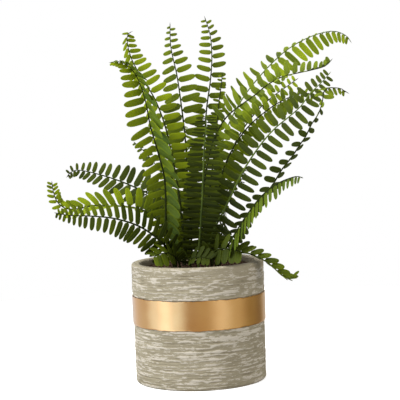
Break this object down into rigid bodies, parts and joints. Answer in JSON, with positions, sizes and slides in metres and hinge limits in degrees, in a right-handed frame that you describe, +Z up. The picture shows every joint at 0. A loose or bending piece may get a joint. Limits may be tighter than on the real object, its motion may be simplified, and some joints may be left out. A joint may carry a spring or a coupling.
{
  "type": "potted fern",
  "caption": "Sword fern with arching pinnate fronds, standing in soil in a round cement pot with a raised gilt band.",
  "frame": {"origin": "centre of the pot's underside", "axes": "+Z up out of the pot, -Y towards the front, +X to the right as seen from the front"},
  "size_m": [0.3597, 0.2995, 0.4171],
  "materials": {
    "cement": "combed cement with whitewash",
    "gold_leaf": "brushed gold leaf",
    "soil": "loose potting soil",
    "leaf_light": "satin yellow-green leaf",
    "leaf_mid": "satin green leaf",
    "leaf_dark": "satin dark green leaf"
  },
  "bodies": {
    "root": {"pot": "cement", "gold_band": "gold_leaf", "soil": "soil", "frond_base_right": "leaf_dark", "frond_base_front": "leaf_dark", "frond_base_left": "leaf_mid", "frond_front_upright": "leaf_dark", "frond_over_rim": "leaf_mid", "frond_right_low": "leaf_mid", "frond_right_edge": "leaf_mid", "frond_left_low": "leaf_mid", "frond_left_outer": "leaf_light", "frond_right_long": "leaf_dark", "frond_left_curl": "leaf_light", "frond_right_spread": "leaf_mid", "frond_small_upright": "leaf_mid", "frond_left_upright": "leaf_mid", "frond_left_hook": "leaf_light", "frond_tall": "leaf_mid", "frond_right_inner": "leaf_light", "frond_left_dark": "leaf_dark", "frond_right_arch": "leaf_light", "frond_right_small": "leaf_light", "frond_left_behind": "leaf_dark", "frond_back_left": "leaf_mid", "frond_back_upright": "leaf_mid", "frond_back_right": "leaf_dark"}
  },
  "joints": []
}
